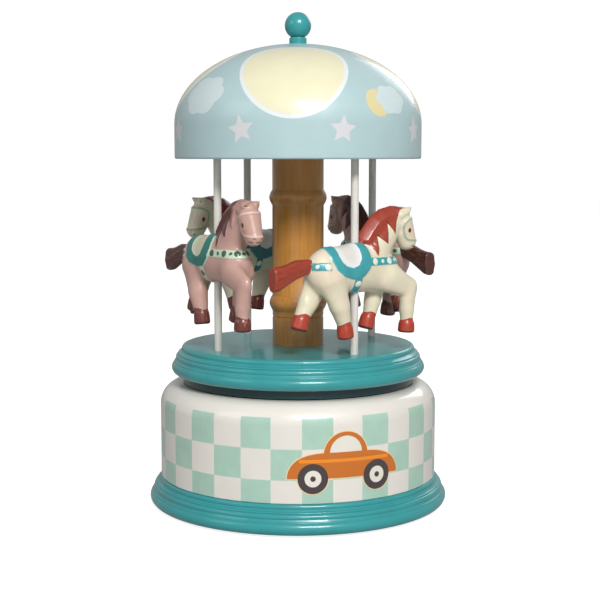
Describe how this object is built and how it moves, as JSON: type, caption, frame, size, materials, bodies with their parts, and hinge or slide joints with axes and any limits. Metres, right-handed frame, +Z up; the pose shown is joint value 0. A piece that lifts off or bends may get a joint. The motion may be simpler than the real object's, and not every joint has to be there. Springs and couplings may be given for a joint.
{
  "type": "carousel music box",
  "caption": "Wind-up music box: a drum with a spring movement turns a turntable that carries horses on poles under a canopy",
  "frame": {"origin": "centre of the base's lower face", "axes": "+Z up along the turning axis, -Y towards the front"},
  "size_m": [0.119, 0.119, 0.1943],
  "materials": {
    "pad": "matt foam rubber",
    "teal_paint": "gloss teal paint on turned wood",
    "drum_paint": "gloss white and mint paint on wood",
    "canopy_paint": "satin pale blue paint on turned wood",
    "varnish": "orange-brown varnish on turned wood",
    "pole_paint": "white paint on dowel",
    "horse_cream": "hand-painted cast resin, cream with coloured tack",
    "horse_pink": "hand-painted cast resin, pink with coloured tack",
    "steel": "bright steel",
    "comb_steel": "ground spring steel",
    "brass": "turned brass",
    "zinc": "zinc die casting",
    "nylon": "natural nylon"
  },
  "bodies": {
    "housing": {"base_pad": "pad", "base_disc": "teal_paint", "base_screws": "steel", "drum": "drum_paint", "spindle_bush": "brass", "bedplate": "zinc", "movement_screws": "steel", "comb": "comb_steel", "comb_screws": "steel", "inner_bracket": "zinc", "outer_bracket": "zinc", "bracket_screws": "steel", "governor_frame": "zinc", "governor_screws": "steel", "clutch_spring": "steel"},
    "winder": {"winding_key": "steel", "winding_arbor": "steel"},
    "carousel": {"spring_barrel": "brass", "barrel_cover": "brass", "mainspring": "comb_steel", "drive_spindle": "steel", "turntable_hub": "brass", "hub_screws": "steel", "turntable": "teal_paint", "column": "varnish", "pole_1": "pole_paint", "pole_2": "pole_paint", "pole_3": "pole_paint", "pole_4": "pole_paint", "horse_1": "horse_cream", "horse_2": "horse_pink", "horse_3": "horse_cream", "horse_4": "horse_pink", "canopy_ceiling": "canopy_paint", "canopy": "canopy_paint", "finial": "teal_paint"},
    "cylinder": {"pinned_cylinder": "brass", "cylinder_arbor": "steel", "cylinder_pinion": "brass", "cylinder_gear": "brass"},
    "governor": {"governor_wheel": "nylon", "governor_arbor": "steel"},
    "fly": {"worm_shaft": "steel", "air_brake": "nylon"}
  },
  "joints": [
    {"name": "carousel_spin", "type": "hinge", "parent": "housing", "child": "carousel", "pos_m": [0, 0, 0.05], "axis": [0, 0, 1], "continuous": true},
    {"name": "cylinder_spin", "type": "hinge", "parent": "housing", "child": "cylinder", "pos_m": [0.025, 0, 0.02445], "axis": [1, 0, 0], "continuous": true},
    {"name": "governor_spin", "type": "hinge", "parent": "housing", "child": "governor", "pos_m": [0.0368, -0.01, 0.02445], "axis": [1, 0, 0], "continuous": true},
    {"name": "fly_spin", "type": "hinge", "parent": "housing", "child": "fly", "pos_m": [0.0368, -0.0176, 0.02445], "axis": [0, 0, 1], "continuous": true},
    {"name": "winding_turn", "type": "hinge", "parent": "housing", "child": "winder", "pos_m": [0, 0, 0.01], "axis": [0, 0, 1], "continuous": true}
  ],
  "couplings": [
    {"joint": "cylinder_spin", "follows": "carousel_spin", "ratio": 2.4},
    {"joint": "governor_spin", "follows": "carousel_spin", "ratio": -9.6},
    {"joint": "fly_spin", "follows": "carousel_spin", "ratio": -134.4}
  ]
}
